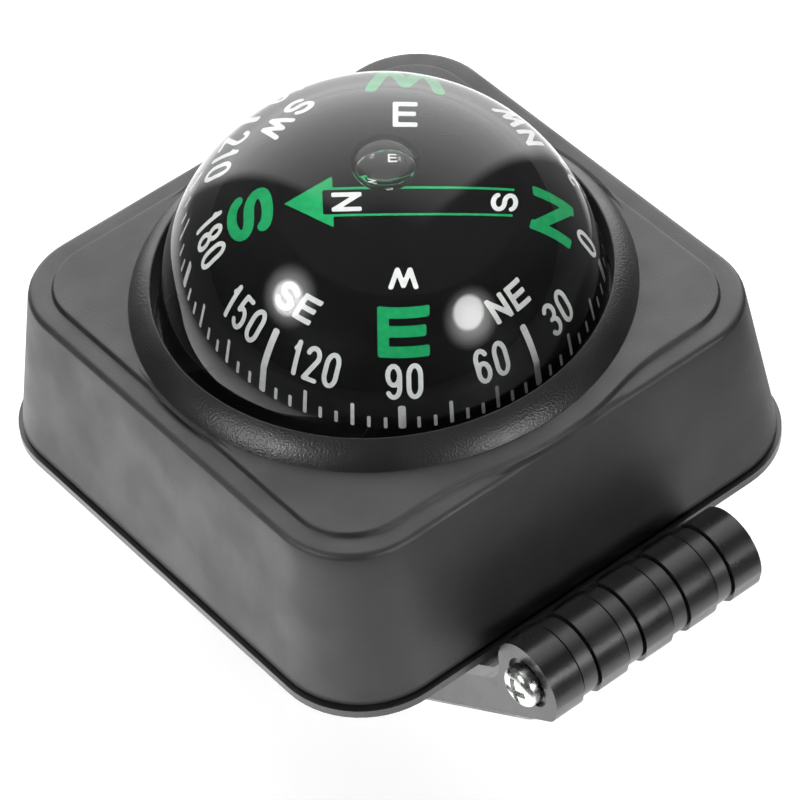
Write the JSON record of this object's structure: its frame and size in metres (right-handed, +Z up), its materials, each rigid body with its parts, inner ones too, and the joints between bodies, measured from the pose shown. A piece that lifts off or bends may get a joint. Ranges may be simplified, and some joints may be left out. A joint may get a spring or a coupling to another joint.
{
  "type": "dashboard ball compass",
  "caption": "Liquid-filled ball compass with a floating dial in a square moulded case, on a tilting hinge with a stick-on mounting plate for a car dashboard.",
  "frame": {"origin": "middle of the adhesive pad's outer face, which sticks to the dashboard", "axes": "+Z up and level with the floating dial, +X along the hinge, +Y away from the hinge, over the case"},
  "size_m": [0.0666, 0.0774, 0.0701],
  "materials": {
    "case": "satin black moulded plastic with a fine texture",
    "cover": "satin black moulded plastic",
    "plate": "black moulded plastic, smoother and glossier than the case",
    "pad": "pale grey acrylic foam tape",
    "zinc": "bright zinc-plated steel",
    "clear": "clear polished acrylic, liquid behind it",
    "bowl": "black moulded plastic",
    "rubber": "black nitrile rubber",
    "steel": "polished hardened steel",
    "jewel": "polished synthetic ruby",
    "brass": "turned brass",
    "dial": "matt black card with pale and green markings",
    "magnet": "dull dark grey sintered magnet"
  },
  "bodies": {
    "mount": {"mounting_plate": "plate", "adhesive_pad": "pad", "hinge_screw": "zinc", "hinge_nut": "zinc"},
    "case": {"upper_case": "case", "bottom_cover": "cover", "case_screw_1": "zinc", "case_screw_2": "zinc", "case_screw_3": "zinc", "case_screw_4": "zinc", "clear_dome": "clear", "dome_seal": "rubber", "capsule_bowl": "bowl", "filler_plug": "rubber", "pivot_post": "bowl", "pivot_pin": "steel"},
    "jewel": {"jewel_cup": "jewel"},
    "collar": {"jewel_collar": "brass"},
    "dial": {"dial_card": "dial", "dial_base": "dial", "dial_magnet_1": "magnet", "dial_magnet_2": "magnet"}
  },
  "joints": [
    {"name": "case_tilt", "type": "hinge", "parent": "mount", "child": "case", "pos_m": [0, -0.01344, 0.01892], "axis": [1, 0, 0], "range_deg": [-18, 100]},
    {"name": "dial_pitch", "type": "hinge", "parent": "case", "child": "jewel", "pos_m": [0.0025, 0.02812, 0.03905], "axis": [1, 0, 0], "range_deg": [-15, 15]},
    {"name": "dial_roll", "type": "hinge", "parent": "jewel", "child": "collar", "pos_m": [0.0025, 0.02812, 0.03905], "axis": [0, 1, 0], "range_deg": [-15, 15]},
    {"name": "dial_heading", "type": "hinge", "parent": "collar", "child": "dial", "pos_m": [0.0025, 0.02812, 0.03905], "axis": [0, 0, 1], "continuous": true}
  ]
}
